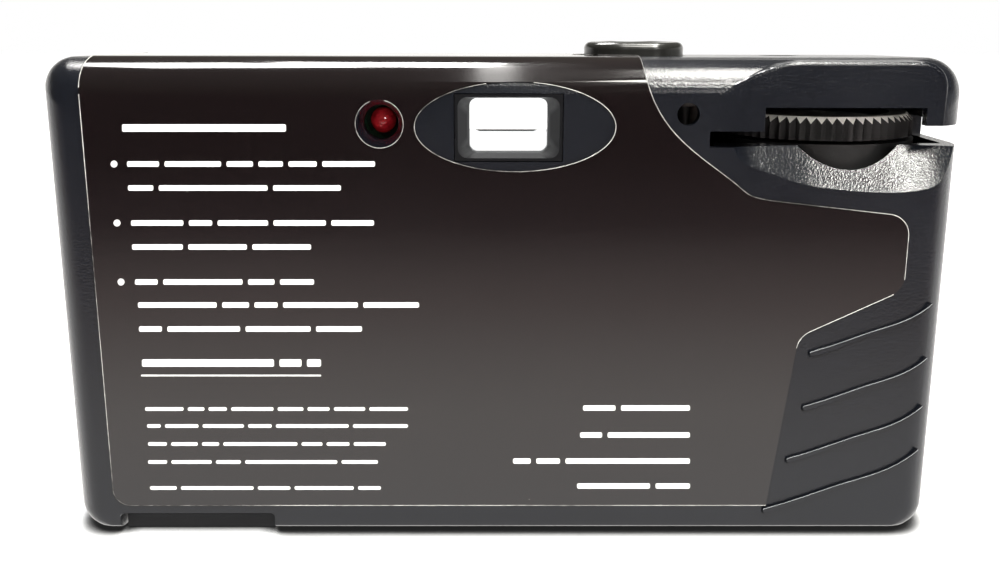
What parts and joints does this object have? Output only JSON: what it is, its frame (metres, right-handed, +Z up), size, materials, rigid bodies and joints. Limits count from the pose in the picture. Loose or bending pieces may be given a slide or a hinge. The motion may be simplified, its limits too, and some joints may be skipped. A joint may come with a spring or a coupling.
{
  "type": "disposable film camera",
  "caption": "Disposable 35 mm film camera with flash: thumb advance wheel, viewfinder, ready lamp, shutter button, grip ribs and a glossy wrap label.",
  "frame": {"origin": "under the middle of the body, on the plane that it stands on", "axes": "+X along the body, -Y out of the lens, +Y out of the back with the thumb wheel, +Z up"},
  "size_m": [0.1156, 0.0356, 0.0642],
  "materials": {
    "body_plastic": "fine grain moulded blue-grey",
    "black_plastic": "moulded black",
    "button_plastic": "smooth dark grey",
    "label_film": "glossy printed film, near black",
    "counter_plastic": "pale, with plain numbers",
    "clear_plastic": "clear moulded plastic",
    "tube_glass": "clear glass",
    "red_lamp": "deep red, translucent look",
    "cassette_metal": "plain lacquered metal",
    "film_base": "satin film base",
    "felt": "black velvet",
    "spring_steel": "bright steel",
    "reflector_metal": "polished",
    "board": "bare phenolic board",
    "capacitor_sleeve": "shrunk sleeve",
    "winding": "taped winding",
    "component_black": "moulded",
    "resistor_body": "lacquered",
    "contact_brass": "plain sheet",
    "battery_case": "plain sleeve"
  },
  "bodies": {
    "camera": {"front_cover": "body_plastic", "rear_cover": "body_plastic", "chassis": "black_plastic", "mechanism_cover": "black_plastic", "lens_holder": "black_plastic", "aperture_stop": "black_plastic", "lens_bezel": "black_plastic", "viewfinder_tunnel": "black_plastic", "wrap_label": "label_film", "counter_window": "clear_plastic", "lens": "clear_plastic", "viewfinder_front_lens": "clear_plastic", "viewfinder_rear_lens": "clear_plastic", "flash_window": "clear_plastic", "flash_tube": "tube_glass", "ready_lamp": "red_lamp", "cassette_shell": "cassette_metal", "cassette_top_cap": "cassette_metal", "cassette_bottom_cap": "cassette_metal", "film_strip": "film_base", "light_trap_felt": "felt", "shutter_spring": "spring_steel", "kicker_spring": "spring_steel", "metering_spring": "spring_steel", "button_spring": "spring_steel", "flash_reflector": "reflector_metal", "circuit_board": "board", "capacitor": "capacitor_sleeve", "transformer": "winding", "trigger_coil": "winding", "transistor": "component_black", "resistors": "resistor_body", "flash_contact": "contact_brass", "sync_contact": "contact_brass", "positive_contact": "contact_brass", "negative_contact": "contact_brass", "battery": "battery_case"},
    "wheel": {"thumb_wheel": "black_plastic", "cassette_spool": "black_plastic", "cassette_film": "film_base"},
    "supply": {"supply_spool": "black_plastic", "film_roll": "film_base"},
    "sprocket": {"sprocket_shaft": "black_plastic"},
    "counter": {"counter_disc": "counter_plastic"},
    "button": {"shutter_button": "button_plastic"},
    "metering": {"metering_lever": "black_plastic"},
    "kicker": {"kicker_lever": "spring_steel"},
    "blade": {"shutter_blade": "spring_steel"},
    "pawl": {"ratchet_pawl": "black_plastic"},
    "flash_switch": {"flash_button": "button_plastic"},
    "door": {"film_door": "body_plastic"},
    "flap": {"supply_flap": "body_plastic"}
  },
  "joints": [
    {"name": "wheel_turn", "type": "hinge", "parent": "camera", "child": "wheel", "pos_m": [-0.0428, 0.0015, 0.052], "axis": [0, 0, 1], "continuous": true},
    {"name": "supply_turn", "type": "hinge", "parent": "camera", "child": "supply", "pos_m": [0.0428, 0.005, 0.026], "axis": [0, 0, 1], "continuous": true},
    {"name": "sprocket_turn", "type": "hinge", "parent": "camera", "child": "sprocket", "pos_m": [-0.0234, 0.00595, 0.045], "axis": [0, 0, 1], "continuous": true},
    {"name": "counter_turn", "type": "hinge", "parent": "camera", "child": "counter", "pos_m": [-0.0335, -0.0015, 0.0585], "axis": [0, 0, 1], "continuous": true},
    {"name": "button_press", "type": "slide", "parent": "camera", "child": "button", "axis": [0, 0, -1], "range_m": [0, 0.0015], "stiffness_N_per_m": 300, "springref_m": -0.001, "deforming": ["button_spring"]},
    {"name": "metering_swing", "type": "hinge", "parent": "camera", "child": "metering", "pos_m": [-0.0143, 0.0072, 0.0513], "axis": [0, 0, 1], "range_deg": [0, 12], "stiffness_Nm_per_rad": 0.0004, "springref_deg": -17.19},
    {"name": "kicker_swing", "type": "hinge", "parent": "camera", "child": "kicker", "pos_m": [-0.015, -0.004, 0.0532], "axis": [0, 0, 1], "range_deg": [0, 30], "stiffness_Nm_per_rad": 0.0005, "springref_deg": -22.92},
    {"name": "blade_swing", "type": "hinge", "parent": "camera", "child": "blade", "pos_m": [-0.008, -0.0096, 0.033], "axis": [0, 1, 0], "range_deg": [0, 28], "stiffness_Nm_per_rad": 0.0003, "springref_deg": -28.65},
    {"name": "pawl_swing", "type": "hinge", "parent": "camera", "child": "pawl", "pos_m": [-0.0268, -0.008, 0.0538], "axis": [0, 0, 1], "range_deg": [0, 8], "stiffness_Nm_per_rad": 0.0004, "springref_deg": -17.19},
    {"name": "flash_press", "type": "slide", "parent": "camera", "child": "flash_switch", "axis": [0, 1, 0], "range_m": [0, 0.0008], "stiffness_N_per_m": 200, "springref_m": -0.0005},
    {"name": "film_door_swing", "type": "hinge", "parent": "camera", "child": "door", "pos_m": [-0.0435, -0.0086, 0.0008], "axis": [-1, 0, 0], "range_deg": [0, 100]},
    {"name": "supply_flap_swing", "type": "hinge", "parent": "camera", "child": "flap", "pos_m": [0.041, -0.005, 0.0008], "axis": [-1, 0, 0], "range_deg": [0, 100]}
  ],
  "couplings": [
    {"joint": "supply_turn", "follows": "wheel_turn", "ratio": 1.194},
    {"joint": "sprocket_turn", "follows": "wheel_turn", "ratio": 1.3223},
    {"joint": "counter_turn", "follows": "wheel_turn", "ratio": -0.044077}
  ]
}
